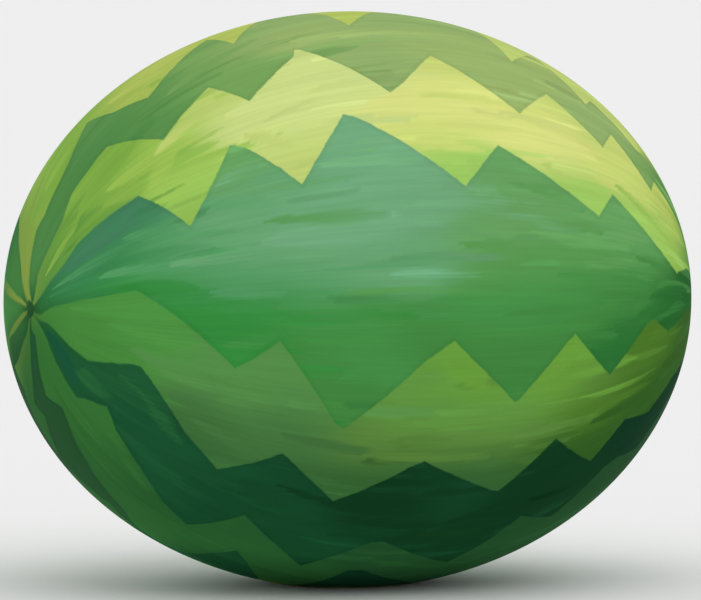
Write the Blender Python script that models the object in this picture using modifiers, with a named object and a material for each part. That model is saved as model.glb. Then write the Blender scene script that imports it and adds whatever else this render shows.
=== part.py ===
"""A whole oval watermelon, lying on its side on the small flat spot that it grew on.

Metres, +Z up. The long axis of the fruit runs along X, with the stem end at -X and the blossom
end at +X. The origin is on the surface that the fruit rests on, under the middle of the fruit.
"""

import math

import bpy
from mathutils import Vector

# The fruit is an ellipsoid, turned round its long axis.
HALF_LENGTH = 0.150
HALF_WIDTH = 0.1235
PROFILE_STEPS = 42
TURN_STEPS = 56

# The ground kept the rind flat where the fruit lay.
FLAT_SPOT_DEPTH = 0.002
CENTRE_HEIGHT = HALF_WIDTH - FLAT_SPOT_DEPTH

# The fruit grew a little bent, so both ends lie slightly to the -Y side of its long axis.
END_DRIFT = math.radians(7.0)

# Each end has a shallow round scar: one from the stem, one from the flower.
SCAR_RADIUS = 0.0075
SCAR_DEPTH = 0.0012
SCAR_SEGMENTS = 24
SCAR_RINGS = 48

RIND_COLOUR = (0.10, 0.33, 0.14, 1.0)
RIND_ROUGHNESS = 0.42


def new_collection(name):
    """An empty collection in the scene."""
    collection = bpy.data.collections.new(name)
    bpy.context.scene.collection.children.link(collection)
    return collection


def rind_material():
    """Waxy green rind."""
    material = bpy.data.materials.new("rind")
    material.use_nodes = True
    shader = material.node_tree.nodes["Principled BSDF"]
    shader.inputs["Base Color"].default_value = RIND_COLOUR
    shader.inputs["Roughness"].default_value = RIND_ROUGHNESS
    shader.inputs["Metallic"].default_value = 0.0
    return material


def half_outline():
    """One side of the fruit's outline, as a chain of edges from the blossom end to the stem end.
    It is half an ellipse, drawn upright in the XZ plane."""
    points = [(0.0, 0.0, HALF_LENGTH)]
    for step in range(1, PROFILE_STEPS):
        angle = math.pi * step / PROFILE_STEPS
        points.append((HALF_WIDTH * math.sin(angle), 0.0, HALF_LENGTH * math.cos(angle)))
    points.append((0.0, 0.0, -HALF_LENGTH))
    edges = [(step, step + 1) for step in range(PROFILE_STEPS)]
    mesh = bpy.data.meshes.new("watermelon")
    mesh.from_pydata(points, edges, [])
    return mesh


def turned_fruit(collection):
    """The outline turned all the way round, then laid down along X."""
    fruit = bpy.data.objects.new("watermelon", half_outline())
    collection.objects.link(fruit)
    turn = fruit.modifiers.new("turn", "SCREW")
    turn.axis = "Z"
    turn.steps = TURN_STEPS
    turn.render_steps = TURN_STEPS
    turn.use_merge_vertices = True
    turn.merge_threshold = 0.00005
    turn.use_smooth_shade = True
    fruit.rotation_euler = (0.0, math.radians(90.0), 0.0)
    fruit.location = (0.0, 0.0, CENTRE_HEIGHT)
    return fruit


def keep_as_cutter(cutter, name, collection):
    """Names a cutter, moves it to the cutters' collection and keeps it out of renders."""
    cutter.name = name
    for owner in list(cutter.users_collection):
        owner.objects.unlink(cutter)
    collection.objects.link(cutter)
    cutter.display_type = "WIRE"
    cutter.hide_render = True
    return cutter


def ground_cutter(collection):
    """A block that fills the space below the surface that the fruit rests on."""
    size = 4.0 * HALF_LENGTH
    bpy.ops.mesh.primitive_cube_add(size=size, location=(0.0, 0.0, -size / 2.0))
    return keep_as_cutter(bpy.context.object, "ground_cutter", collection)


def scar_cutter(name, side, collection):
    """A ball that presses one shallow scar into an end of the fruit. The side is -1 for the stem
    end and +1 for the blossom end."""
    across = -HALF_WIDTH * math.sin(END_DRIFT)
    along = side * HALF_LENGTH * math.cos(END_DRIFT)
    outward = Vector((along / HALF_LENGTH**2, across / HALF_WIDTH**2, 0.0)).normalized()
    # The ball and the rind meet in a circle of SCAR_RADIUS: the rind, curved as it is at an end,
    # falls away by rind_fall at that circle, and the ball's cap covers the rest of the depth.
    rind_curve_radius = HALF_WIDTH**2 / HALF_LENGTH
    rind_fall = SCAR_RADIUS**2 / (2.0 * rind_curve_radius)
    cap_height = SCAR_DEPTH - rind_fall
    ball_radius = (SCAR_RADIUS**2 + cap_height**2) / (2.0 * cap_height)
    rind_point = Vector((along, across, CENTRE_HEIGHT))
    bpy.ops.mesh.primitive_uv_sphere_add(
        segments=SCAR_SEGMENTS,
        ring_count=SCAR_RINGS,
        radius=ball_radius,
        location=rind_point + outward * (ball_radius - SCAR_DEPTH),
        rotation=outward.to_track_quat("Z", "Y").to_euler(),
    )
    return keep_as_cutter(bpy.context.object, name, collection)


def cut(fruit, cutter):
    """Cuts one shape out of the fruit."""
    boolean = fruit.modifiers.new(cutter.name, "BOOLEAN")
    boolean.operation = "DIFFERENCE"
    boolean.solver = "EXACT"
    boolean.object = cutter


def main():
    for old in list(bpy.data.objects):
        bpy.data.objects.remove(old, do_unlink=True)
    parts = new_collection("watermelon")
    cutters = new_collection("cutters")
    fruit = turned_fruit(parts)
    fruit.data.materials.append(rind_material())
    cut(fruit, ground_cutter(cutters))
    cut(fruit, scar_cutter("stem_scar_cutter", -1, cutters))
    cut(fruit, scar_cutter("blossom_scar_cutter", 1, cutters))


main()
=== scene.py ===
# %% [markdown]
# # A watermelon, painted stripe by stripe
#
# The frame holds one plain solid: an oval fruit with a flat spot underneath and a shallow scar at
# each end. This script grows a finished rind over it. The shape is a grid worked out with numpy,
# the stripes are zigzag lines drawn in the fruit's own growth coordinates, and the colours are
# laid on like paint: a soft wash first, then single brush strokes, then fine bristle marks.

import bpy
import numpy as np
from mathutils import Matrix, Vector


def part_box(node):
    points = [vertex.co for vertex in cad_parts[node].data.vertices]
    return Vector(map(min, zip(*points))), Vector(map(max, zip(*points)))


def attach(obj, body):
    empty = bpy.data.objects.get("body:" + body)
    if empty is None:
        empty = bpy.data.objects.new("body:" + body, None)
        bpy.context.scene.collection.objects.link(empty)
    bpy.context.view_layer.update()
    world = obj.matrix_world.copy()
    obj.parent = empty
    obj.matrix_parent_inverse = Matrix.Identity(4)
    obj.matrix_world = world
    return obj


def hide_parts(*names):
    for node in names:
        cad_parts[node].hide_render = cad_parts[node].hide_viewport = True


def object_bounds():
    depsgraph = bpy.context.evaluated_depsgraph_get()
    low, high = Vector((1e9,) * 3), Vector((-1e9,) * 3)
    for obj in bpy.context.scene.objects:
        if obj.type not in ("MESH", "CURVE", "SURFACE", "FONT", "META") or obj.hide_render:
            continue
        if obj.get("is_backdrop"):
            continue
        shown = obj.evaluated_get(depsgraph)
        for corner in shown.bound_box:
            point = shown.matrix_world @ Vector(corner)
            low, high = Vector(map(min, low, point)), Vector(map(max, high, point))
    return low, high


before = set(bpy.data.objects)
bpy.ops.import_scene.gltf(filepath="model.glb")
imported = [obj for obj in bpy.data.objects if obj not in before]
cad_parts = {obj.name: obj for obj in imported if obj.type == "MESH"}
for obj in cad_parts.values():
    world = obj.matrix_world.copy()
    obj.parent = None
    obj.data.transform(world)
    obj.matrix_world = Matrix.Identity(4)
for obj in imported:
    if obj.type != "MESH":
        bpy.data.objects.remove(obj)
cad_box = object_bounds()
print("the frame holds", sorted(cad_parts))

# %% [markdown]
# Every size comes from the solid in the frame. Its box gives both half widths of the oval. The
# top of the box and the half width give the height of the middle, which is a little less than
# the half width, because the ground kept the rind flat where the fruit lay.

# %% Sizes of the fruit
low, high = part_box("watermelon")
HALF_LENGTH = (high.x - low.x) / 2
HALF_WIDTH = (high.y - low.y) / 2
CENTRE_HEIGHT = high.z - HALF_WIDTH
MM = 0.001
print("oval", round(2000 * HALF_LENGTH), "by", round(2000 * HALF_WIDTH), "mm")

# %% [markdown]
# A watermelon's stripes run from the stem end to the blossom end, like lines of longitude. This
# fruit grew a little bent, so both ends sit slightly towards the front of the long axis. The
# stripes could be drawn with a texture, but then they would slide over a bent shape. So each
# point of the rind gets two growth coordinates in degrees: along, which is 0 at the stem scar
# and 180 at the blossom scar, and around, which is 0 at the front, 90 at the top and -90 below.

# %% Growth coordinates
END_DRIFT = np.radians(7.0)


def rind_point(along, around):
    """Where growth coordinates, in degrees, lie on the plain oval.

    On a ball with straight longitudes the point would be (-cos a, -sin a cos r, sin a sin r),
    for along a and around r. The lines are squeezed to the front by the formula that moves
    both poles of a ball by the drift d and keeps it a ball: with k = 1 + sin d sin a cos r, the
    three parts become -cos d cos a / k, -(sin a cos r + sin d) / k and cos d sin a sin r / k.
    The ball is then stretched to the oval and lifted to the height of its middle."""
    a = np.radians(along)
    r = np.radians(around)
    shift = np.sin(END_DRIFT)
    keep = np.cos(END_DRIFT)
    k = 1 + shift * np.sin(a) * np.cos(r)
    x = -HALF_LENGTH * keep * np.cos(a) / k
    y = -HALF_WIDTH * (np.sin(a) * np.cos(r) + shift) / k
    z = CENTRE_HEIGHT + HALF_WIDTH * keep * np.sin(a) * np.sin(r) / k
    return np.stack([x, y, z], axis=-1)


def outward(points):
    """The direction straight out of the plain oval at each point."""
    middle = np.array([0.0, 0.0, CENTRE_HEIGHT])
    widths = np.array([HALF_LENGTH, HALF_WIDTH, HALF_WIDTH])
    normals = (points - middle) / widths**2
    return normals / np.linalg.norm(normals, axis=-1, keepdims=True)


print("stem scar at", np.round(rind_point(0.0, 0.0), 3))

# %% [markdown]
# The rind is one grid in growth coordinates. Rows are rings round the fruit and columns run from
# end to end. Rows lie closer together near both scars, where the surface puckers.

# %% The grid of the rind
END_ZONE = 8.4
END_ROWS = 28
MIDDLE_ROWS = 204
COLUMNS = 380
near_stem = np.linspace(0.0, END_ZONE, END_ROWS + 1)[1:]
middle = np.linspace(END_ZONE, 180.0 - END_ZONE, MIDDLE_ROWS + 1)[1:]
near_blossom = (180.0 - near_stem[::-1])[1:]
ROWS_ALONG = np.concatenate([near_stem, middle, near_blossom])
COLUMNS_AROUND = -180.0 + 360.0 * np.arange(COLUMNS) / COLUMNS
ALONG, AROUND = np.meshgrid(ROWS_ALONG, COLUMNS_AROUND, indexing="ij")
SMOOTH = rind_point(ALONG, AROUND)
NORMAL = outward(SMOOTH)
print(len(ROWS_ALONG), "rows of", COLUMNS, "points")

# %% [markdown]
# Each scar is where the stem or the flower came off. It is a small dry button in a shallow
# dimple, and the rind round it is drawn into fine radial creases. All of that is pressed inwards
# from the plain oval, so that the rind never leaves the solid in the frame. The whole skin also
# has very slow swells, a few tenths of a millimetre, that break up a too perfect shine.

# %% Scars, creases and swells
DIMPLE_DEPTH = 0.75 * MM
DIMPLE_REACH = 5.5 * MM
HOLLOW_DEPTH = 0.25 * MM
HOLLOW_REACH = 16 * MM
BUTTON_RISE = 0.45 * MM
BUTTON_REACH = 1.9 * MM
GROOVE_DEPTH = 0.30 * MM
GROOVE_RADIUS = 2.9 * MM
GROOVE_WIDTH = 0.8 * MM
CREASE_DEPTH = 0.28 * MM
CREASE_RADIUS = 7 * MM
CREASE_REACH = 4.5 * MM
STEM_CREASES = 17
BLOSSOM_CREASES = 19
SWELL_DEPTH = 0.10 * MM


def bump(distance, width):
    """A rounded hill: 1 at distance 0, falling to 0.37 at the width."""
    return np.exp(-((distance / width) ** 2))


def end_relief(from_end, around, creases, turn):
    """How deep the rind is pressed in near one end, in metres.

    from_end is the distance from the scar's middle. The depth is a dimple in a wide
    shallow hollow, plus a ring groove round the button, less the button itself, plus creases: a
    wave of the angle round the scar that is strongest at the dimple's rim."""
    dimple = DIMPLE_DEPTH * bump(from_end, DIMPLE_REACH)
    hollow = HOLLOW_DEPTH * bump(from_end, HOLLOW_REACH)
    button = BUTTON_RISE * bump(from_end, BUTTON_REACH)
    groove = GROOVE_DEPTH * bump(from_end - GROOVE_RADIUS, GROOVE_WIDTH)
    wave = 0.5 + 0.5 * np.cos(creases * np.radians(around) + turn)
    uneven = 0.7 + 0.3 * np.cos(3 * np.radians(around) + 2 * turn)
    puckers = CREASE_DEPTH * wave * uneven * bump(from_end - CREASE_RADIUS, CREASE_REACH)
    return dimple + hollow - button + groove + puckers


def swells(along, around):
    """Slow unevenness of the whole rind in metres, never above the plain oval: the sum of three
    crossing waves, squared so that it only presses in."""
    a = np.radians(along)
    r = np.radians(around)
    waves = np.sin(3 * r + 1.3) * np.sin(2 * a + 0.4)
    waves = waves + 0.6 * np.sin(5 * r - 0.7) * np.sin(3 * a + 1.9)
    waves = waves + 0.4 * np.sin(2 * r + 2.1) * np.sin(5 * a)
    return SWELL_DEPTH * waves**2 * np.sin(a)


from_stem = HALF_WIDTH * np.radians(ALONG)
from_blossom = HALF_WIDTH * np.radians(180.0 - ALONG)
pressed = end_relief(from_stem, AROUND, STEM_CREASES, 0.5)
pressed = pressed + end_relief(from_blossom, AROUND, BLOSSOM_CREASES, 2.0)
pressed = pressed + swells(ALONG, AROUND)
SURFACE = SMOOTH - pressed[..., None] * NORMAL
SURFACE[..., 2] = np.maximum(SURFACE[..., 2], 0.0)
print("deepest relief", round(1000 * pressed.max(), 2), "mm")

# %% [markdown]
# The grid becomes one closed mesh: a point at each scar, a fan of triangles round it, and rows of
# quads between. The last column joins the first, so there is no seam.

# %% Build the rind's mesh


def closed_grid_mesh(name, start, grid, end):
    """A closed surface from a start point, rows of points and an end point. Faces point away
    from the middle."""
    rows, columns = grid.shape[:2]
    points = np.concatenate([grid.reshape(-1, 3), [start], [end]])
    number = np.arange(rows * columns).reshape(rows, columns)
    following = np.roll(number, -1, axis=1)
    quads = np.stack([number[:-1], following[:-1], following[1:], number[1:]], axis=-1)
    first = np.full(columns, rows * columns)
    last = np.full(columns, rows * columns + 1)
    start_fan = np.stack([first, following[0], number[0]], axis=-1)
    end_fan = np.stack([last, number[-1], following[-1]], axis=-1)
    faces = quads.reshape(-1, 4).tolist() + start_fan.tolist() + end_fan.tolist()
    mesh = bpy.data.meshes.new(name)
    mesh.from_pydata(points, [], faces)
    mesh.shade_smooth()
    return mesh


def end_point(along, depth):
    """The middle of a scar, pressed in by a depth."""
    point = rind_point(np.array(along), np.array(0.0))
    return point - depth * outward(point)


mesh = closed_grid_mesh(
    "watermelon_rind",
    end_point(0.0, pressed[0].mean()),
    SURFACE,
    end_point(180.0, pressed[-1].mean()),
)
rind = bpy.data.objects.new("watermelon_rind", mesh)
bpy.context.scene.collection.objects.link(rind)
print(len(mesh.vertices), "points,", 2 * (len(ROWS_ALONG) - 1) * COLUMNS + 2 * COLUMNS, "triangles")

# %% [markdown]
# The stripes are dark bands between pale ones, and the edge of each band is a zigzag. An edge
# is a list of its corners, noted as (along, around), with straight runs between them. The first
# corners, near the stem scar, give each band its wedge shape there. The bands at the back are
# made by a small generator that cuts teeth of uneven size, because their exact teeth are free.

# %% Corners of the zigzag edges
rng = np.random.default_rng(7)


def teeth(first, last, level, reach, count):
    """Corners of a free zigzag between two places along the fruit: they lie by turns above and
    below a level, and each is moved a little at random."""
    spots = first + (last - first) * (np.arange(count) + 0.5) / count
    spots = spots + rng.uniform(-0.18, 0.18, count) * (last - first) / count
    side = np.where(np.arange(count) % 2 == 0, 1.0, -1.0)
    heights = level + side * reach * rng.uniform(0.7, 1.15, count)
    return [(float(spot), float(height)) for spot, height in zip(spots, heights)]


LOWER_DARK_BOTTOM = [
    (3.5, -30), (7, -36), (10, -44), (13.5, -50), (17, -53.5), (21, -55.8), (23, -51), (27.8, -45.2),
    (32, -53), (46, -68.5), (52.7, -72.6), (59.2, -57.6), (69.5, -67), (74, -72.4), (77, -66),
    (83, -58.2), (85.5, -57.6), (99.4, -69.3), (110.8, -55), (119, -61.4), (129.5, -50.3), (133, -50),
    (140.5, -56), (151, -48), (165, -52),
]
LOWER_DARK_TOP = [
    (3.5, -26), (7.5, -18), (10, -20.5), (15, -26.3), (20.3, -28), (26, -23), (31, -20), (32.8, -19.9),
    (43.3, -37.3), (51.7, -45.6), (62.2, -34.8), (73.4, -45.8), (85.3, -34.7), (87.6, -33.2),
    (103.9, -43.6), (114, -31.5), (124.4, -43.6), (132.5, -34.3), (140.8, -39), (151, -34.2), (165, -39),
]
MAIN_BOTTOM = [
    (3.0, -14), (5.4, -8), (6.4, -1), (8, 4.5), (10, 6.2), (13.5, 7.7), (20, 9.5), (30.8, 10.4),
    (38, 1.5), (51, -13.9), (54, -10.8), (59, -5.5), (69.7, -24.6), (71.2, -26.2), (85.3, -9.8),
    (90.7, -5.2), (103.2, -19.8), (104.8, -19.6), (114.4, -6.7), (116.5, -5.3), (125.8, -17.6),
    (137.2, -5.1), (139.3, -3.8), (145.8, -10.2), (158, -5), (170, -8),
]
MAIN_TOP = [
    (3.0, 26), (6, 33), (9, 37), (15, 41), (20, 45.6), (25, 46.4), (36, 46.4), (43.9, 28.5), (54.4, 48.6),
    (57, 46.3), (64.9, 32.7), (75.5, 48.9), (77.2, 48.2), (94.6, 29), (103, 39.7), (123.2, 24.9),
    (128, 32.6), (151, 13.2), (160, 19.5), (170, 22),
]
OLIVE_BOTTOM = [
    (3.0, 48), (5, 60), (7.5, 67), (15, 67.2), (20, 69.7), (24.5, 75.4), (35.3, 77.1), (44.2, 61.2),
    (49, 65.6), (56.5, 71), (61, 60), (72.2, 71), (73, 73.3), (74, 73), (85, 53.7), (88.8, 56.5),
    (95.8, 66), (109.4, 49.8), (116.9, 60), (128.2, 48), (132.2, 56.4), (142.6, 42.7), (145.4, 50.2),
    (154, 46), (165, 36),
]
OLIVE_TOP = [
    (1.6, 62), (3, 88), (5, 94), (10, 96), (15.5, 97), (17, 94.5), (19, 92), (25, 92), (30, 94), (39.4, 103),
    (42.3, 91), (47.9, 82.8), (54.7, 89.3), (65.0, 98.8), (66, 86.2), (76, 101.2), (81.5, 107),
    (83.7, 97), (85.2, 81), (94, 95.2), (101, 101), (109.8, 92), (112.2, 70.5), (118.5, 81.7),
    (120.5, 82), (127.6, 65), (129.8, 70.2), (141.5, 60.8), (147, 65), (160, 54), (170, 48),
]
BACK_TOP_BOTTOM = [(1.6, 128), (5, 125), (10, 123.5), (20, 131), (28, 139)]
BACK_TOP_BOTTOM = BACK_TOP_BOTTOM + teeth(36, 92, 125, 8, 5) + teeth(94, 168, 104, 7, 6)
BACK_TOP_TOP = [(2.5, 150), (6, 157), (10, 159.5), (15, 162.5), (20, 166)] + teeth(28, 168, 158, 8, 9)
BACK_BOTTOM = [(2.5, 166), (6, 169), (10, 170), (20, 171)] + teeth(30, 168, 179, 7, 10)
BACK_TOP = [(2.5, 196), (6, 202), (10, 203), (15, 203.5)] + teeth(24, 168, 208, 8, 10)
BACK_LOW_BOTTOM = [(2.5, 214), (6, 213), (10, 210), (15, 205.5)] + teeth(26, 168, 225, 7, 10)
BACK_LOW_TOP = [(4, 258), (7, 244), (10, 236), (18, 222), (19.5, 236)] + teeth(26, 168, 246, 6, 10)
BOTTOM_DARK_BOTTOM = [
    (4, 270), (8.3, 265), (10, 262.5), (15, 257.5), (20.7, 250.5), (22, 260), (33, 250),
] + teeth(38, 168, 259, 6, 9)
BOTTOM_DARK_TOP = [
    (4, 284), (5.7, 293), (8, 286), (10, 281), (13.3, 277), (17.5, 273.5), (20.3, 287), (26.7, 279.5),
    (34.8, 274), (44, 269.5), (50, 262.5), (55.5, 262), (58.6, 268.5), (60, 279), (62.6, 286),
    (66, 281.2), (71.3, 270.5), (75, 262), (78.3, 270), (80.5, 281), (82, 288.2), (84.1, 289.4),
    (93.8, 281), (97.5, 276), (104, 280), (106.2, 287.4), (113.2, 286.5), (115, 283), (122.8, 282.3),
    (124.4, 291.5), (134, 284), (146, 292), (160, 284),
]

DARK_BANDS = {
    "lower": (LOWER_DARK_BOTTOM, LOWER_DARK_TOP),
    "main": (MAIN_BOTTOM, MAIN_TOP),
    "olive": (OLIVE_BOTTOM, OLIVE_TOP),
    "back_top": (BACK_TOP_BOTTOM, BACK_TOP_TOP),
    "back": (BACK_BOTTOM, BACK_TOP),
    "back_low": (BACK_LOW_BOTTOM, BACK_LOW_TOP),
    "bottom": (BOTTOM_DARK_BOTTOM, BOTTOM_DARK_TOP),
}
print(len(DARK_BANDS), "dark bands")

# %% [markdown]
# The mesh cannot hold a sharp edge between two colours, because its points are 2 mm apart. So
# it holds the distance from each point to the nearest band edge instead, above 0 in a dark band
# and below 0 in a pale one. The material cuts the colours where that distance crosses 0, which
# gives a line as crisp as the render allows. The corners are moved to the nearest row of the
# grid, so that no tooth loses its tip.

# %% Distance to the nearest edge


def edge_around(corners, along):
    """The height of a zigzag edge at each place along the fruit: straight lines between its
    corners, each moved to the nearest row."""
    spots = np.array([corner[0] for corner in corners], float)
    heights = np.array([corner[1] for corner in corners], float)
    nearest = np.abs(ROWS_ALONG[:, None] - spots).argmin(axis=0)
    return np.interp(along, ROWS_ALONG[nearest], heights)


def inside_band(bottom, top, along, around):
    """Degrees from a point to the nearer edge of a band, above 0 inside it. The angle is tried
    one turn on and one turn back too, because around starts again at 180."""
    lower = edge_around(bottom, along)
    upper = edge_around(top, along)
    best = np.full(along.shape, -180.0)
    for turn in (-360.0, 0.0, 360.0):
        best = np.maximum(best, np.minimum(around + turn - lower, upper - around - turn))
    return best


def ring_width(along):
    """Millimetres in one degree of around, at each place along the fruit."""
    return 1000 * HALF_WIDTH * np.sin(np.radians(along)) * np.pi / 180


distances = [inside_band(bottom, top, ALONG, AROUND) for bottom, top in DARK_BANDS.values()]
EDGE = np.max(distances, axis=0) * ring_width(ALONG)
print("dark share of the rind", round(float((EDGE > 0).mean()), 2))

# %% [markdown]
# All the pale stripes end at a scar, and the scar itself is dark. So each scar counts as a small
# dark disc whose rim is a little uneven, which also cuts off the thin tips of the stripes.

# %% The dark discs of the scars
SCAR_RADIUS_MM = 3.9
scar_rim = SCAR_RADIUS_MM + 0.35 * np.sin(3 * np.radians(AROUND) + 1)
scar_rim = scar_rim + 0.2 * np.sin(7 * np.radians(AROUND))
for from_end in (from_stem, from_blossom):
    EDGE = np.maximum(EDGE, scar_rim - 1000 * from_end)
print("scar discs of", SCAR_RADIUS_MM, "mm radius")

# %% [markdown]
# Next come the paints. Each is named and given as it looks on the lit fruit, from 0 to 255. The
# fruit is lighter above and darker below, and some of that is the light and not the rind. So the
# look of a paint is divided by the light that falls on each part. What is left is the colour given
# to the rind, and it still holds painted light and shade: the paints are lighter towards the top
# and darker towards the underside and both ends, and the pale teal greens on the main dark band
# are partly a painted sheen.

# %% Paints
PAINTS = {
    # pale bands, from the sunny top down: lighter on top and darker below, partly as painted light and shade
    "butter": (214, 220, 130),
    "primrose": (203, 218, 136),
    "straw": (197, 211, 116),
    "honey": (178, 195, 95),
    "citron": (188, 206, 114),
    "pear": (165, 187, 88),
    "lime": (157, 201, 98),
    "sprout": (158, 194, 86),
    "apple": (138, 180, 78),
    "leaf": (124, 170, 69),
    "meadow": (104, 157, 66),
    "clover": (86, 141, 65),
    "khaki": (124, 154, 71),
    "ochre": (142, 158, 72),
    "fern": (79, 147, 68),
    "moss": (69, 131, 58),
    "sage": (84, 139, 73),
    "lichen": (97, 148, 66),
    "chartreuse": (104, 156, 60),
    "pasture": (90, 132, 60),
    "mist": (70, 117, 64),
    "dusk": (56, 101, 52),
    "bronze": (76, 120, 42),
    "shade": (50, 92, 36),
    "basil": (54, 110, 51),
    "cress": (46, 97, 49),
    "spruce": (40, 88, 45),
    "holly": (35, 76, 42),
    # dark bands, also lighter on top and darker below as painted shade; bright, jade and teal are partly a
    # painted sheen
    "bright": (122, 186, 146),
    "jade": (112, 168, 124),
    "teal": (103, 163, 113),
    "sea": (84, 153, 98),
    "glade": (104, 161, 96),
    "sward": (88, 150, 80),
    "emerald": (54, 138, 62),
    "shamrock": (70, 142, 72),
    "green": (66, 132, 64),
    "slate": (68, 127, 92),
    "lagoon": (62, 135, 82),
    "bottle": (46, 113, 52),
    "forest": (38, 101, 43),
    "night": (31, 90, 37),
    "thyme": (80, 136, 72),
    "sedge": (94, 146, 80),
    "willow": (118, 162, 90),
    "reed": (146, 175, 107),
    "hay": (154, 179, 107),
    "petrol": (28, 84, 58),
    "laurel": (40, 97, 54),
    "pine": (34, 88, 52),
    "fir": (28, 80, 49),
    "deep": (24, 70, 42),
    "ink": (20, 58, 33),
    "abyss": (17, 54, 35),
    "cedar": (38, 80, 46),
    "scar": (40, 82, 47),
}


def linear(colour):
    """An 0 to 255 screen colour as light: each part is divided by 255, then raised by the
    screen's curve."""
    part = np.array(colour, float) / 255
    return np.where(part <= 0.04045, part / 12.92, ((part + 0.055) / 1.055) ** 2.4)


PAINTS = {name: linear(colour) for name, colour in PAINTS.items()}
print(len(PAINTS), "paints")

# %% [markdown]
# A wash is laid on by dabs: each paint is dabbed at a few places, and between them the paints
# run into each other. The pale bands and the dark bands have a wash each, and each wash covers
# the whole fruit, so that a sharp edge can be cut between the two afterwards.

# %% Washes
# The dabs place each paint as the lit fruit shows it, so the washes carry painted light and shade: lighter
# paints near the top, darker ones near the underside and both ends.
PALE_DABS = {
    "khaki": [(6, 112), (12, 108), (18, 116)],
    "ochre": [(3, 95), (2, 115), (7, 164), (7, 206)],
    "apple": [(152, 17), (26, 112), (38, 112), (15, 98), (26, 62), (36, 56), (45, 34)],
    "leaf": [(26, 96), (36, 99), (28, 72), (36, 70), (26, 54), (16, 62)],
    "pear": [(45, 98), (48, 86), (150, 35)],
    "sprout": [(45, 45), (42, 54), (46, 60)],
    "honey": [(56, 98), (68, 94), (88, 90), (100, 96), (145, 42), (152, 42)],
    "citron": [(114, 78), (128, 72), (57, 62), (66, 42), (125, 52)],
    "clover": [(8, 60), (7, 46), (15, 56), (160, 30)],
    "meadow": [(15, 52), (25, 48), (155, 50)],
    "primrose": [(58, 55), (66, 56), (72, 62), (73, 70), (66, 48), (80, 55)],
    "butter": [(85, 48), (95, 56), (96, 48), (105, 46), (116, 48), (116, 40)],
    "straw": [(88, 42), (98, 62), (110, 54), (126, 42), (136, 46), (132, 54), (136, 40)],
    "lime": [(92, 34), (97, 32), (118, 32), (124, 28), (136, 30), (145, 25), (45, 40)],
    "fern": [(16, 2), (28, 5), (36, 0), (28, -6), (36, -8)],
    "moss": [(4, -15), (9, 0), (12, -8), (20, -12), (28, -18), (20, -22)],
    "sage": [(44, -14), (54, -14), (59, -8), (54, -22), (64, -20)],
    "mist": [(46, -28), (52, -36), (58, -30), (66, -32), (62, -26)],
    "dusk": [(48, -36), (74, -40), (95, -37), (104, -40), (66, -40), (85, -36)],
    "lichen": [(84, -14), (84, -22), (96, -22), (106, -24)],
    "chartreuse": [(91, -9), (96, -14), (115, -10), (114, -18)],
    "pasture": [(75, -29), (86, -29), (96, -29), (106, -29), (122, -18)],
    "bronze": [(118, -26), (126, -24), (136, -8), (134, -16), (144, -14)],
    "shade": [(124, -38), (134, -28), (146, -24), (156, -14), (156, -28), (112, -34)],
    "basil": [(4, -50), (4, -70), (6, -95), (10, -52), (12, -64), (16, -76), (26, -52), (26, -64)],
    "cress": [(36, -64), (36, -80), (46, -82), (28, -76)],
    "spruce": [(46, -74), (56, -78), (62, -64), (70, -74)],
    "holly": [(84, -64), (96, -74), (104, -72), (112, -60), (126, -60), (136, -56), (150, -56), (120, -74)],
    "meadow_back": [(30, 168), (60, 166), (84, 170), (140, 168)],
    "apple_back": [(45, 162), (74, 162), (104, 166), (124, 162), (160, 100)],
    "moss_back": [(14, 165), (14, 206), (30, 215), (60, 217), (100, 217), (140, 217)],
    "cress_back": [(10, 245), (30, 250), (60, 250), (100, 252), (140, 252), (6, 208)],
    "pear_back": [(60, 114), (80, 112), (110, 100), (140, 90), (160, 80)],
}
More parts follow.
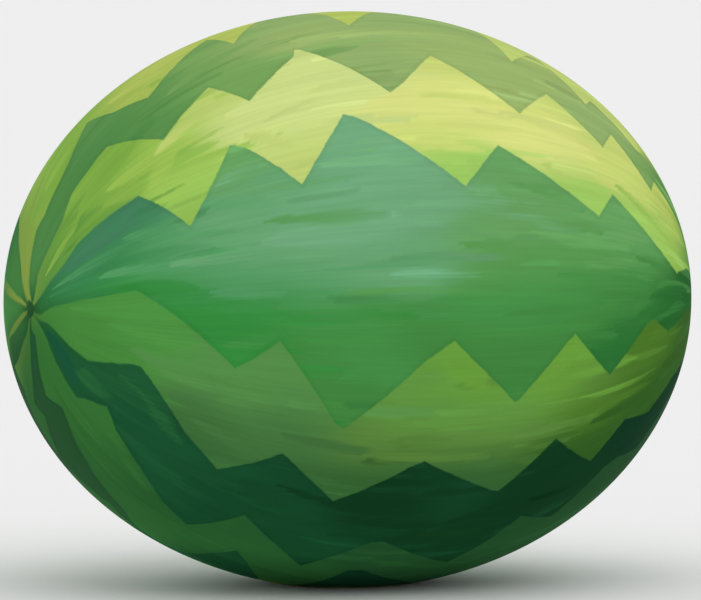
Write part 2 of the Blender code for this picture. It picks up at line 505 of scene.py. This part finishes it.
# The pale teal greens dabbed high on the main band are partly a painted sheen, and the darkest greens low
# down are painted shade.
DARK_DABS = {
    "bottle": [(8, 28), (14, 8), (132, -6), (124, -12), (150, -6), (9, 16)],
    "night": [(6, 8), (155, 10), (156, 0), (166, 5)],
    "forest": [(146, 4), (148, -4), (152, 10)],
    "lagoon": [(15, 26), (15, 18), (18, 34), (24, 26), (26, 32), (12, 24)],
    "slate": [(18, 41), (26, 42), (33, 42), (12, 36)],
    "sea": [(36, 24), (36, 17), (46, 14), (54, 8), (64, 8)],
    "teal": [(46, 22), (55, 26), (56, 18), (66, 12), (60, 34), (76, 12), (86, 12)],
    "jade": [(66, 24), (76, 38), (76, 28), (86, 24), (74, 18), (86, 32)],
    "glade": [(55, 42), (104, 32), (104, 22), (96, 18), (112, 26), (128, 26), (134, 20)],
    "sward": [(98, 10), (110, 12), (118, 16), (124, 14), (144, 16)],
    "emerald": [(30, 14), (40, 6), (44, -2), (52, -4), (50, -10), (56, 2), (22, 13)],
    "shamrock": [(64, 2), (74, 0), (74, -8), (104, 4), (116, 4), (134, 12), (96, 2)],
    "green": [(66, -10), (70, -20), (84, -3), (96, -6), (104, -12), (116, -2), (126, 4), (134, 4)],
    "thyme": [(8, 82), (16, 86), (26, 84), (16, 76), (36, 82), (42, 72), (26, 90), (152, 54)],
    "sedge": [(36, 92), (40, 100), (46, 74), (50, 80), (44, 66)],
    "willow": [(56, 76), (58, 84), (62, 92), (62, 68), (142, 52)],
    "reed": [(66, 82), (76, 90), (86, 78), (86, 62), (86, 70), (100, 88), (128, 56), (136, 60)],
    "hay": [(96, 72), (106, 68), (108, 58), (116, 68), (76, 80)],
    "pine": [(8, -28), (15, -34), (22, -34), (24, -26), (32, -26), (16, -46), (6, -90)],
    "fir": [(28, -40), (36, -44), (38, -56), (46, -44), (21, -50), (44, -62), (54, -40)],
    "deep": [(52, -52), (54, -64), (62, -42), (64, -54), (74, -60), (96, -44), (66, -86), (62, -80)],
    "ink": [(86, -44), (84, -52), (98, -62), (106, -48), (116, -42), (118, -54), (126, -48), (146, -44)],
    "abyss": [(85, -75), (90, -82), (136, -44), (80, -84)],
    "cedar": [(12, -86), (20, -94), (28, -88), (36, -94), (110, -77), (126, -76), (10, 225), (30, 228)],
    "green_back": [(6, 185), (20, 186), (60, 190), (100, 190), (140, 190)],
    "thyme_back": [(8, 150), (12, 132), (60, 135), (100, 135), (130, 125)],
    "bottle_back": [(20, 145), (60, 150), (100, 150), (140, 150), (10, 140)],
    "pine_back": [(60, 232), (100, 232), (140, 232), (60, 260), (100, 262), (140, 262)],
}
SPREAD_ALONG = 7.0
SPREAD_AROUND = 5.0
FAR_PULL = 1e-4
SCAR_STAIN = 6.5 * MM


def wash(dabs):
    """The colour of a wash at each grid point: the mean of all dabs, each weighted by a rounded
    hill over its place, plus a very small pull that reaches everywhere. A name that ends in _back
    is the same paint, dabbed at the back."""
    colour = np.zeros(ALONG.shape + (3,))
    total = np.zeros(ALONG.shape)
    for name, places in dabs.items():
        paint = PAINTS[name.removesuffix("_back")]
        for along, around in places:
            turn = (AROUND - around + 180.0) % 360.0 - 180.0
            ring = np.sin(np.radians((ALONG + along) / 2))
            reach = ((ALONG - along) / SPREAD_ALONG) ** 2 + (turn * ring / SPREAD_AROUND) ** 2
            weight = np.exp(-reach) + FAR_PULL / (1 + reach)
            colour += weight[..., None] * paint
            total += weight
    return colour / total[..., None]


PALE_WASH = wash(PALE_DABS)
DARK_WASH = wash(DARK_DABS)
for from_end in (from_stem, from_blossom):
    near_scar = bump(from_end, SCAR_STAIN)[..., None]
    DARK_WASH = DARK_WASH * (1 - near_scar) + PAINTS["scar"] * near_scar
print("mean pale wash", PALE_WASH.mean(axis=(0, 1)).round(3))

# %% [markdown]
# On top of the wash go single brush strokes. A stroke is a line between two places with a width
# in millimetres. It covers fully along its middle and thins out at its rim and its tail. The
# colour is laid a little wider than the cover, so that the material can cut a ragged, bristly
# rim and still find the right colour there.

# %% Brush strokes
RIM_REACH = 1.6


class Layer:
    """The strokes over one wash: a colour and a cover for every point of the grid."""

    def __init__(self, wash_colour):
        self.wash = wash_colour
        self.colour = wash_colour.copy()
        self.cover = np.zeros(wash_colour.shape[:2])

    def stroke(self, start, end, width, paint, strength):
        """Lays one stroke between two growth coordinates, with a width in millimetres.

        Travel runs from 0 at its start to 1 at its end. The stroke is a fifth of its full width
        at both ends and fully wide half way. Its cover is full near its line, falls to nothing
        at its rim, and fades by about a third towards its end. The colour stays full further
        out than the cover. Only the block of rows and columns round the stroke is touched."""
        half = width / 2
        middle = (start[0] + end[0]) / 2
        per_along = 1000 * np.pi / 180 * np.hypot(
            HALF_LENGTH * np.sin(np.radians(middle)), HALF_WIDTH * np.cos(np.radians(middle))
        )
        per_around = max(ring_width(middle), 0.05)
        margin = RIM_REACH * half
        first = np.searchsorted(ROWS_ALONG, min(start[0], end[0]) - margin / per_along)
        last = np.searchsorted(ROWS_ALONG, max(start[0], end[0]) + margin / per_along)
        span = abs(end[1] - start[1]) + 2 * margin / per_around
        left = min(start[1], end[1]) - margin / per_around
        gap = 360.0 / COLUMNS
        count = min(int(span / gap) + 2, COLUMNS)
        columns = (int(np.floor((left + 180.0) / gap)) + np.arange(count)) % COLUMNS
        block = np.ix_(np.arange(first, last), columns)
        x = (ALONG[block] - start[0]) * per_along
        turn = (AROUND[block] - start[1] + 180.0) % 360.0 - 180.0
        y = turn * per_around
        line = np.array([(end[0] - start[0]) * per_along, (end[1] - start[1]) * per_around])
        length = np.hypot(*line)
        travel = np.clip((x * line[0] + y * line[1]) / length**2, 0.0, 1.0)
        apart = np.hypot(x - travel * line[0], y - travel * line[1])
        taper = 0.2 + 0.8 * (1.0 - (2 * travel - 1) ** 2) ** 0.7
        near = np.clip(1.0 - apart / (half * taper * RIM_REACH), 0.0, 1.0)
        cover = strength * np.clip(near * 2.0, 0.0, 1.0) * (1.0 - 0.35 * travel)
        lay = np.clip(near * 4.0, 0.0, 1.0)[..., None]
        self.colour[block] = self.colour[block] * (1 - lay) + paint * lay
        self.cover[block] = np.maximum(self.cover[block] * (1 - cover), cover)


pale = Layer(PALE_WASH)
dark = Layer(DARK_WASH)
print("two layers, each over its wash")

# %% [markdown]
# First come many loose strokes, all over and in no order. They keep to the paint that they lie
# on, so they only break up the smooth wash.

# %% Loose strokes
STROKE_COUNT = 700
TONE_SPREAD = 0.085
HUE_SPREAD = 0.025


def loose_strokes(layer, count):
    """Many thin strokes along the fruit, each in the paint that it lies on, made a little lighter
    or darker and a little yellower or bluer."""
    for _ in range(count):
        along = float(np.degrees(np.arccos(rng.uniform(-0.985, 0.985))))
        around = float(rng.uniform(-180, 180))
        length = float(rng.uniform(8, 26))
        slope = float(rng.normal(0, 1.6))
        row = int(np.abs(ROWS_ALONG - along).argmin())
        column = int((around + 180) / 360 * COLUMNS) % COLUMNS
        lighter = rng.normal(0, TONE_SPREAD)
        yellower = rng.normal(0, HUE_SPREAD) * np.array([1.0, 0.2, -1.0])
        paint = layer.wash[row, column] * np.exp(lighter + yellower)
        end = (float(np.clip(along + length, 3, 177)), around + slope)
        width = float(rng.uniform(2.0, 7.0)) * float(np.sin(np.radians(along)) ** 0.5)
        layer.stroke((along, around), end, width, paint, rng.uniform(0.55, 0.9))


loose_strokes(pale, STROKE_COUNT)
loose_strokes(dark, STROKE_COUNT)
print("loose strokes cover", round(float(dark.cover.mean()), 2), "of the dark wash")

# %% [markdown]
# Then come the strokes that are placed one by one, most at the front and some like them at the
# back. Each is noted as its start, its end, its width in millimetres, its paint and its strength.

# %% Chosen strokes over the dark bands
DARK_STROKES = [
    # long teal sweeps over the main band, partly a painted sheen
    ((22, 20), (44, 17.5), 5, "sea", 0.8),
    ((38, 17.5), (57, 16), 4, "teal", 0.8),
    ((56, 19.5), (84, 20), 10, "jade", 0.75),
    ((60, 15), (80, 14), 5, "teal", 0.7),
    # a thin painted highlight along the main band
    ((78, 10), (97, 9), 5, "bright", 0.5),
    ((57, 24.8), (80, 23.2), 6, "sward", 0.7),
    ((46, 7.5), (60, 6.5), 5, "sea", 0.8),
    ((74, 31), (90, 29), 8, "jade", 0.6),
    ((60, 40), (74, 42), 6, "glade", 0.5),
    ((92, 16), (112, 14), 6, "sward", 0.7),
    ((86, 4), (110, 3), 5, "shamrock", 0.7),
    ((124, 20), (142, 22.5), 5, "glade", 0.8),
    ((112, 9), (136, 8), 6, "shamrock", 0.6),
    ((134, 15), (152, 12), 4, "green", 0.6),
    ((138, 3), (158, 6), 5, "bottle", 0.6),
    ((134, -2), (150, 2), 5, "bottle", 0.6),
    ((24, 24), (48, 21), 5, "lagoon", 0.6),
    ((30, 33), (42, 27), 6, "sea", 0.6),
    ((48, 32), (62, 29), 6, "sea", 0.5),
    ((50, 38), (60, 42), 5, "jade", 0.5),
    ((62, 26), (92, 27), 4, "teal", 0.6),
    ((66, 11), (92, 12.5), 4, "sea", 0.6),
    ((70, 6), (100, 6.5), 4, "sward", 0.6),
    ((58, 2), (84, 0), 5, "emerald", 0.5),
    ((94, 24), (120, 20), 5, "jade", 0.5),
    ((88, 36), (98, 29), 4, "teal", 0.6),
    ((106, 30), (120, 26), 5, "sward", 0.6),
    ((100, 0), (124, 2), 5, "green", 0.6),
    ((118, 12), (138, 13), 4, "glade", 0.5),
    ((26, 12), (44, 9), 7, "emerald", 0.8),
    ((34, 2), (58, -3), 8, "emerald", 0.7),
    ((48, -8), (60, -4), 5, "shamrock", 0.6),
    ((70, -14), (84, -6), 6, "shamrock", 0.6),
    ((14, 34), (34, 38), 5, "slate", 0.8),
    ((9, 35.5), (34, 45), 2.5, "slate", 0.8),
    ((10, 27), (32, 30), 4, "sea", 0.6),
    ((8, 20), (24, 22), 3, "lagoon", 0.6),
    ((116, -10), (130, -14), 6, "bottle", 0.8),
    # olive band, the top dark band, lighter and yellower partly as painted light from above
    ((34, 68), (46, 72), 7, "thyme", 0.8),
    ((50, 78), (70, 84), 6, "willow", 0.7),
    ((66, 92), (76, 98), 6, "hay", 0.8),
    ((84, 84), (96, 90), 5, "reed", 0.7),
    ((92, 70), (118, 66), 7, "hay", 0.8),
    ((60, 74), (76, 80), 5, "willow", 0.5),
    ((112, 76), (124, 78), 4, "citron", 0.8),
    ((18, 80), (36, 85), 5, "thyme", 0.6),
    # dark bands at the back
    ((30, 128), (58, 126), 8, "sea", 0.6),
    ((62, 132), (92, 130), 9, "sward", 0.6),
    ((96, 138), (128, 136), 8, "emerald", 0.6),
    ((44, 144), (72, 145), 7, "green", 0.7),
    ((78, 148), (104, 146), 5, "lagoon", 0.7),
    ((24, 184), (46, 186), 6, "emerald", 0.6),
    ((40, 192), (70, 190), 8, "shamrock", 0.7),
    ((76, 192), (108, 190), 9, "sward", 0.6),
    ((90, 182), (120, 182), 5, "sea", 0.5),
    ((112, 188), (142, 186), 7, "green", 0.7),
    ((58, 199), (86, 198), 6, "bottle", 0.7),
    ((40, 228), (70, 230), 8, "laurel", 0.7),
    ((80, 235), (110, 233), 8, "petrol", 0.7),
    ((116, 228), (142, 230), 6, "laurel", 0.6),
    # lower dark band, darker towards the underside as painted shade
    ((8, -30), (20, -47), 6, "petrol", 0.9),
    ((19, -40), (29, -34), 12, "laurel", 0.8),
    ((28, -27), (44, -42), 6, "laurel", 0.8),
    ((24, -52), (44, -66), 5, "petrol", 0.7),
    ((56, -46), (66, -50), 9, "deep", 0.7),
    ((76, -42), (92, -40), 5, "deep", 0.6),
    ((20, -30), (36, -36), 7, "pine", 0.8),
    ((30, -50), (50, -58), 6, "pine", 0.6),
    ((62, -44), (86, -50), 5, "ink", 0.7),
    ((70, -60), (96, -60), 4, "fir", 0.6),
    ((94, -52), (116, -46), 6, "ink", 0.8),
    ((104, -60), (126, -54), 4, "fir", 0.5),
]
for start, end, width, name, strength in DARK_STROKES:
    dark.stroke(start, end, width, PAINTS[name], strength)
print(len(DARK_STROKES), "strokes over the dark bands")

# %% [markdown]
# The pale bands have their own list, because the two layers never mix: a stroke that crosses an
# edge is cut off there.

# %% Chosen strokes over the pale bands
PALE_STROKES = [
    # upper pale band, lighter and yellower towards the top partly as painted light
    ((22, 58), (38, 70), 8, "leaf", 0.8),
    ((27, 51), (41, 60), 5, "leaf", 0.7),
    ((33, 66), (46, 72), 5, "apple", 0.8),
    ((38, 46), (46, 58), 6, "sprout", 0.7),
    ((26, 62), (40, 68), 7, "leaf", 0.8),
    ((26, 74), (40, 75), 4, "leaf", 0.8),
    ((28, 53), (38, 49), 5, "apple", 0.9),
    ((30, 58), (46, 56), 6, "sprout", 0.7),
    ((42, 58), (56, 66), 7, "citron", 0.7),
    ((56, 58), (74, 60), 8, "primrose", 0.8),
    ((58, 50), (66, 42), 6, "citron", 0.7),
    ((80, 51), (96, 54), 7, "butter", 0.8),
    ((90, 52.5), (106, 52), 4, "straw", 0.7),
    ((84, 34), (98, 30.5), 7, "lime", 0.9),
    ((86, 40), (100, 38), 5, "straw", 0.8),
    ((114, 30), (126, 27), 6, "lime", 0.8),
    ((112, 46), (126, 42), 6, "butter", 0.8),
    ((124, 36), (144, 34), 5, "straw", 0.8),
    ((130, 36), (150, 24), 4, "apple", 0.6),
    ((146, 22), (160, 17), 4, "lime", 0.8),
    ((134, 44), (154, 38), 4, "citron", 0.6),
    ((14, 56), (28, 54), 4, "clover", 0.6),
    ((9, 50), (22, 58), 3, "apple", 0.7),
    # top pale band
    ((18, 110), (26, 96), 7, "leaf", 0.8),
    ((24, 104), (34, 100), 6, "apple", 0.8),
    ((44, 100), (54, 92), 7, "honey", 0.8),
    ((42, 92), (50, 86), 5, "pear", 0.8),
    ((6, 104), (18, 108), 2, "ochre", 0.8),
    ((66, 92), (74, 98), 6, "honey", 0.7),
    # lower pale band, darker towards its underside and the blossom end as painted shade
    ((14, 4), (34, 2), 5, "fern", 0.7),
    ((24, -4), (44, -8), 7, "fern", 0.7),
    ((30, -14), (48, -22), 7, "sage", 0.7),
    ((48, -24), (62, -20), 6, "sage", 0.6),
    ((44, -32), (60, -38), 6, "mist", 0.7),
    ((80, -16), (92, -11), 7, "lichen", 0.8),
    ((88, -10), (98, -16), 6, "chartreuse", 0.9),
    ((108, -16), (118, -9), 6, "chartreuse", 0.9),
    ((84, -24), (108, -25), 6, "lichen", 0.7),
    ((76, -32), (100, -33), 5, "pasture", 0.8),
    ((84, -38), (104, -38), 4, "dusk", 0.7),
    ((118, -22), (142, -22), 3, "chartreuse", 0.7),
    ((122, -30), (144, -28), 5, "shade", 0.8),
    ((126, -12), (140, -8), 5, "bronze", 0.7),
    # pale bands at the back
    ((30, 112), (56, 116), 8, "leaf", 0.7),
    ((62, 112), (90, 114), 8, "apple", 0.8),
    ((84, 118), (110, 108), 6, "honey", 0.7),
    ((96, 102), (124, 98), 8, "leaf", 0.7),
    ((112, 86), (130, 84), 5, "citron", 0.7),
    ((130, 92), (156, 90), 6, "apple", 0.7),
    ((36, 164), (60, 168), 7, "apple", 0.7),
    ((64, 160), (90, 164), 7, "leaf", 0.7),
    ((70, 172), (98, 172), 5, "pear", 0.6),
    ((94, 166), (124, 162), 7, "leaf", 0.6),
    ((124, 168), (146, 166), 5, "clover", 0.7),
    ((40, 214), (66, 216), 6, "clover", 0.7),
    ((80, 218), (110, 216), 6, "meadow", 0.6),
    # bottom pale band, darkened as painted shade
    ((14, -60), (30, -66), 6, "basil", 0.8),
    ((26, -52), (44, -70), 5, "basil", 0.6),
    ((40, -76), (60, -72), 5, "spruce", 0.7),
    ((60, -64), (76, -76), 5, "spruce", 0.6),
    ((82, -64), (100, -72), 5, "spruce", 0.6),
]
for start, end, width, name, strength in PALE_STROKES:
    pale.stroke(start, end, width, PAINTS[name], strength)
print(len(PALE_STROKES), "strokes over the pale bands")

# %% [markdown]
# The light in the studio comes from a pale sky and a soft lamp above, and the pale floor sends
# some of it back. The share that reaches a part of the rind depends mostly on how far that part
# faces up. Dividing the look of the paint by that share takes out the studio's own light and shade,
# but not the painted light and shade that the paints carry. Near the floor, where the share is
# low, the division paints the rind lighter against its own shadow. A very thin veil of shine lies
# over every part as well, and is taken off first.

# %% From the look of a paint to the colour of the rind
VEIL = 0.002
LEAST_SHARE = 0.5
DARKEST = 0.0015
LIGHTEST = 0.95


def daylight(normal):
    """The share of the light that reaches a part of the rind that faces along a normal. It falls
    gently from top to underside, sideways by a little, and quickly close to the floor, where
    the fruit stands in its own shadow. Half the light is the least that is counted, so that the
    underside is not painted too bright."""
    up = normal[..., 2]
    shadow = 0.45 * bump(1 + up, 0.22)
    share = 0.94 + 0.18 * up - 0.04 * up**2 + 0.03 * normal[..., 0] - shadow
    return np.maximum(share, LEAST_SHARE)


def rind_colour(look):
    """The colour given to the rind under a look, still holding the painted light and shade of the look, and
    lighter on the underside where the floor shades it.
    """
    share = daylight(NORMAL)[..., None]
    return np.clip((look - VEIL) / share, DARKEST, LIGHTEST)


print("light from", daylight(NORMAL).min().round(2), "to", daylight(NORMAL).max().round(2))

# %% [markdown]
# The mesh carries everything the material needs. The distance to the nearest edge is one value.
# Another is the place of each point on a barrel round the fruit, in millimetres, which lets fine
# marks run from end to end with no seam. The calm fades those marks out near both ends, where
# they would crowd together.

# %% Hand the paint to the mesh


def with_ends(grid):
    """Grid values followed by the values of the two end points, in the order of the mesh."""
    flat = grid.reshape((-1,) + grid.shape[2:])
    return np.concatenate([flat, [grid[0].mean(axis=0)], [grid[-1].mean(axis=0)]])


def give(name, kind, field, grid):
    """Stores one value per point on the mesh."""
    layer = mesh.attributes.new(name, kind, "POINT")
    layer.data.foreach_set(field, with_ends(grid).astype(np.float32).ravel())


def with_alpha(colour, alpha):
    """Colours with a fourth value."""
    return np.concatenate([colour, alpha[..., None]], axis=-1)


barrel = np.stack(
    [
        1000 * HALF_LENGTH * (1 - np.cos(np.radians(ALONG))),
        1000 * HALF_WIDTH * np.cos(np.radians(AROUND)),
        1000 * HALF_WIDTH * np.sin(np.radians(AROUND)),
    ],
    axis=-1,
)
give("edge", "FLOAT", "value", EDGE)
give("barrel", "FLOAT_VECTOR", "vector", barrel)
give("calm", "FLOAT", "value", np.clip(np.sin(np.radians(ALONG)) * 4 - 0.4, 0.0, 1.0))
print("the mesh carries the edge distance, the barrel and the calm")

# %% [markdown]
# Where the fruit lay on the ground, no sun reached it, and the rind stayed a pale straw colour.
# That spot is kept to the flat underneath. Then each wash and each layer of strokes goes to the
# mesh as the colour of the rind, with the painted light, shade and sheen that the paints carry.

# %% The ground spot and the paints
GROUND_SPOT = (196, 190, 118)
GROUND_COVER = 0.8
GROUND_HEIGHT = 1.2 * MM
on_ground = np.clip(1 - SURFACE[..., 2] / GROUND_HEIGHT, 0.0, 1.0)[..., None] * GROUND_COVER


def finished_colour(look):
    """The rind's colour under a look, with the pale spot where it lay on the ground."""
    return rind_colour(look) * (1 - on_ground) + linear(GROUND_SPOT) * on_ground


full = np.ones(ALONG.shape)
give("pale_wash", "FLOAT_COLOR", "color", with_alpha(finished_colour(PALE_WASH), full))
give("dark_wash", "FLOAT_COLOR", "color", with_alpha(finished_colour(DARK_WASH), full))
give("pale_strokes", "FLOAT_COLOR", "color", with_alpha(finished_colour(pale.colour), pale.cover))
give("dark_strokes", "FLOAT_COLOR", "color", with_alpha(finished_colour(dark.colour), dark.cover))
print("the mesh carries both washes and both layers of strokes")

# %% [markdown]
# Shader maths reads better as a formula than as a chain of nodes. A small class wraps a socket,
# and each operator on it adds the Math node that does it.

# %% Shader maths as expressions


class Value:
    """A number, colour or vector inside a material. Operators on numbers add Math nodes, and the
    node method adds any other node."""

    def __init__(self, tree, socket=None):
        self.tree = tree
        self.socket = socket

    def node(self, kind, settings, inputs, output=0):
        """Adds a node: its settings first, then the values or links of its sockets. Gives back
        one of its outputs."""
        added = self.tree.nodes.new(kind)
        for name, value in settings.items():
            setattr(added, name, value)
        for name, value in inputs.items():
            if isinstance(value, Value):
                self.tree.links.new(value.socket, added.inputs[name])
            else:
                added.inputs[name].default_value = value
        return Value(self.tree, added.outputs[output])

    def maths(self, operation, first, second):
        return self.node("ShaderNodeMath", {"operation": operation}, {0: first, 1: second})

    def __add__(self, other):
        return self.maths("ADD", self, other)

    def __radd__(self, other):
        return self.maths("ADD", other, self)

    def __sub__(self, other):
        return self.maths("SUBTRACT", self, other)

    def __rsub__(self, other):
        return self.maths("SUBTRACT", other, self)

    def __mul__(self, other):
        return self.maths("MULTIPLY", self, other)

    def __rmul__(self, other):
        return self.maths("MULTIPLY", other, self)


def carried(canvas, name, output):
    """A value that the mesh carries."""
    return canvas.node("ShaderNodeAttribute", {"attribute_name": name}, {}, output)


def ramp(value, low, high):
    """0 below low, 1 above high, and a soft ramp between."""
    inputs = {"Value": value, "From Min": low, "From Max": high}
    return value.node("ShaderNodeMapRange", {"interpolation_type": "SMOOTHSTEP"}, inputs)


def mix(factor, first, second):
    """One colour laid over another."""
    return factor.node("ShaderNodeMix", {"data_type": "RGBA"}, {0: factor, 6: first, 7: second}, 2)


def marks(place, stretch, scale, detail):
    """Noise from 0 to 1 on the barrel, with its pattern drawn out along the fruit."""
    narrow = {0: place, 1: (1 / stretch, 1, 1)}
    drawn = place.node("ShaderNodeVectorMath", {"operation": "MULTIPLY"}, narrow)
    inputs = {"Vector": drawn, "Scale": scale, "Detail": detail, "Roughness": 0.55}
    return place.node("ShaderNodeTexNoise", {}, inputs)


print("shader helpers are ready")

# %% [markdown]
# The rind's material joins it all. Fine bristle marks, stretched from end to end, roughen the rim
# of each stroke and vary the paint a little. The band edges get a slight hand-drawn wobble, and
# each dark band is a touch darker along its rim. The two sides of an edge are painted alike, by
# one function, and then cut together.

# %% The rind's colour
CUT_LOW = 0.22
CUT_HIGH = 0.78
BRISTLE_RAG = 0.55
EDGE_SOFTNESS = 0.7
EDGE_WOBBLE = 1.3
EDGE_RAG = 1.6
SHADE_WIDTH = 4.5
SHADE_DEPTH = 0.08
BRISTLE_TONE = 0.22
BROAD_TONE = 0.24

material = bpy.data.materials.new("rind")
material.use_nodes = True
tree = material.node_tree
shader = tree.nodes["Principled BSDF"]
canvas = Value(tree)
place = carried(canvas, "barrel", 1)
calm = carried(canvas, "calm", 2)
edge = carried(canvas, "edge", 2)
bristles = marks(place, 22.0, 0.55, 3.0)
broad = marks(place, 11.0, 0.09, 2.0)
pores = marks(place, 1.6, 1.4, 1.0)


def painted(wash_name, strokes_name):
    """The strokes over their wash, cut off where their cover and the bristles fall too low."""
    cover = carried(canvas, strokes_name, 3) + (bristles - 0.5) * BRISTLE_RAG
    cut = ramp(cover, CUT_LOW, CUT_HIGH)
    return mix(cut, carried(canvas, wash_name, 0), carried(canvas, strokes_name, 0))


wobble = (marks(place, 1.0, 0.16, 2.0) - 0.5) * EDGE_WOBBLE + (bristles - 0.5) * EDGE_RAG
in_dark = ramp(edge + wobble, -EDGE_SOFTNESS, EDGE_SOFTNESS)
both = mix(in_dark, painted("pale_wash", "pale_strokes"), painted("dark_wash", "dark_strokes"))
rim_shade = ramp(edge, SHADE_WIDTH, 0.3) * SHADE_DEPTH * in_dark
tone = 1 + ((bristles - 0.5) * BRISTLE_TONE + (broad - 0.5) * BROAD_TONE) * calm - rim_shade
tinted = both.node("ShaderNodeVectorMath", {"operation": "SCALE"}, {"Vector": both, "Scale": tone})
tree.links.new(tinted.socket, shader.inputs["Base Color"])
print("bristles, washes, strokes and edges give the rind its colour")

# %% [markdown]
# The surface is a matt, waxy skin. It is a little rougher along some bristles than along others,
# and very fine pores and bristle lines catch the light. The shine is faint, because a strong one
# would wash out the dark bands; the soft sheen on the main dark band is painted into its colour
# instead.

# %% The rind's surface
PLAIN_ROUGHNESS = 0.60
ROUGHNESS_SPREAD = 0.16
roughness = PLAIN_ROUGHNESS + (bristles - 0.5) * ROUGHNESS_SPREAD * calm
tree.links.new(roughness.socket, shader.inputs["Roughness"])
shader.inputs["Specular IOR Level"].default_value = 0.006
height = (bristles * 0.75 + pores * 0.25) * calm
grain = {"Strength": 0.5, "Distance": 0.00012, "Height": height}
relief = height.node("ShaderNodeBump", {}, grain)
tree.links.new(relief.socket, shader.inputs["Normal"])
mesh.materials.append(material)
print(len(tree.nodes), "nodes in the rind's material")

# %% [markdown]
# The finished rind takes the place of the plain solid, and moves with it.

# %% Put the rind in the frame
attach(rind, "root")
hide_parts("watermelon")
print("the rind stands for the solid")

# %% [markdown]
# The studio is a wide pale floor, a pale sky all round, and one very large soft light above and
# a little to the front. The floor is one flat disc, wide enough that its rim is never close.

# %% Floor
FLOOR_RADIUS = 60.0
FLOOR_CORNERS = 64
turns = np.linspace(0.0, 2 * np.pi, FLOOR_CORNERS, endpoint=False)
level = np.zeros(FLOOR_CORNERS)
rim = np.stack([FLOOR_RADIUS * np.cos(turns), FLOOR_RADIUS * np.sin(turns), level], axis=-1)
floor_mesh = bpy.data.meshes.new("floor")
floor_mesh.from_pydata(rim, [], [list(range(FLOOR_CORNERS))])
floor = bpy.data.objects.new("floor", floor_mesh)
bpy.context.scene.collection.objects.link(floor)
floor_material = bpy.data.materials.new("floor")
floor_material.use_nodes = True
floor_shader = floor_material.node_tree.nodes["Principled BSDF"]
floor_shader.inputs["Base Color"].default_value = (0.82, 0.82, 0.82, 1.0)
floor_shader.inputs["Roughness"].default_value = 0.9
floor_shader.inputs["Specular IOR Level"].default_value = 0.1
floor_mesh.materials.append(floor_material)
floor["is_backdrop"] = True
print("a floor of", FLOOR_RADIUS, "m radius")

# %% [markdown]
# The sky is as bright as the lit floor, so that the two meet without a line. The lamp's disc is
# very wide, so the shadow under the fruit has no hard rim.

# %% Sky and lamp
world = bpy.data.worlds.new("studio")
bpy.context.scene.world = world
world.use_nodes = True
sky = world.node_tree.nodes["Background"]
sky.inputs["Color"].default_value = (1.0, 1.0, 1.0, 1.0)
sky.inputs["Strength"].default_value = 0.84

lamp = bpy.data.lights.new("soft_light", "SUN")
lamp.energy = 0.75
lamp.angle = np.radians(60.0)
lamp_object = bpy.data.objects.new("soft_light", lamp)
lamp_object.rotation_euler = Vector((-0.10, 0.50, -1.0)).to_track_quat("-Z", "Y").to_euler()
bpy.context.scene.collection.objects.link(lamp_object)
bpy.context.scene.view_settings.view_transform = "Standard"
print("a pale sky and one soft light")

# %% [markdown]
# The camera looks at the fruit from the front, turned a little to its stem end, from barely above
# the floor. It stands far off with a long lens, which keeps the outline a true oval.

# %% Camera
VIEW_AZIMUTH = np.radians(-20.0)
VIEW_ELEVATION = np.radians(3.5)
VIEW_DISTANCE = 3.5
back = Vector(
    (
        np.sin(VIEW_AZIMUTH) * np.cos(VIEW_ELEVATION),
        -np.cos(VIEW_AZIMUTH) * np.cos(VIEW_ELEVATION),
        np.sin(VIEW_ELEVATION),
    )
)
lens = bpy.data.cameras.new("camera")
lens.sensor_width = 36.0
lens.lens = 420.0
lens.shift_x = 0.0021
lens.clip_end = 200.0
camera = bpy.data.objects.new("camera", lens)
camera.location = Vector((0.0, 0.0, CENTRE_HEIGHT)) + back * VIEW_DISTANCE
camera.rotation_euler = (-back).to_track_quat("-Z", "Y").to_euler()
bpy.context.scene.collection.objects.link(camera)
bpy.context.scene.camera = camera
print("camera at", [round(part, 2) for part in camera.location])

# %% [markdown]
# The last cell keeps the box of the plain solid and the box of the finished model, so that the two
# can be compared, and prints them.

# %% Print the sizes
sizes = {"cad_box": cad_box, "bounds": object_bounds()}
sizes = {name: [list(corner) for corner in box] for name, box in sizes.items()}
print(sizes)
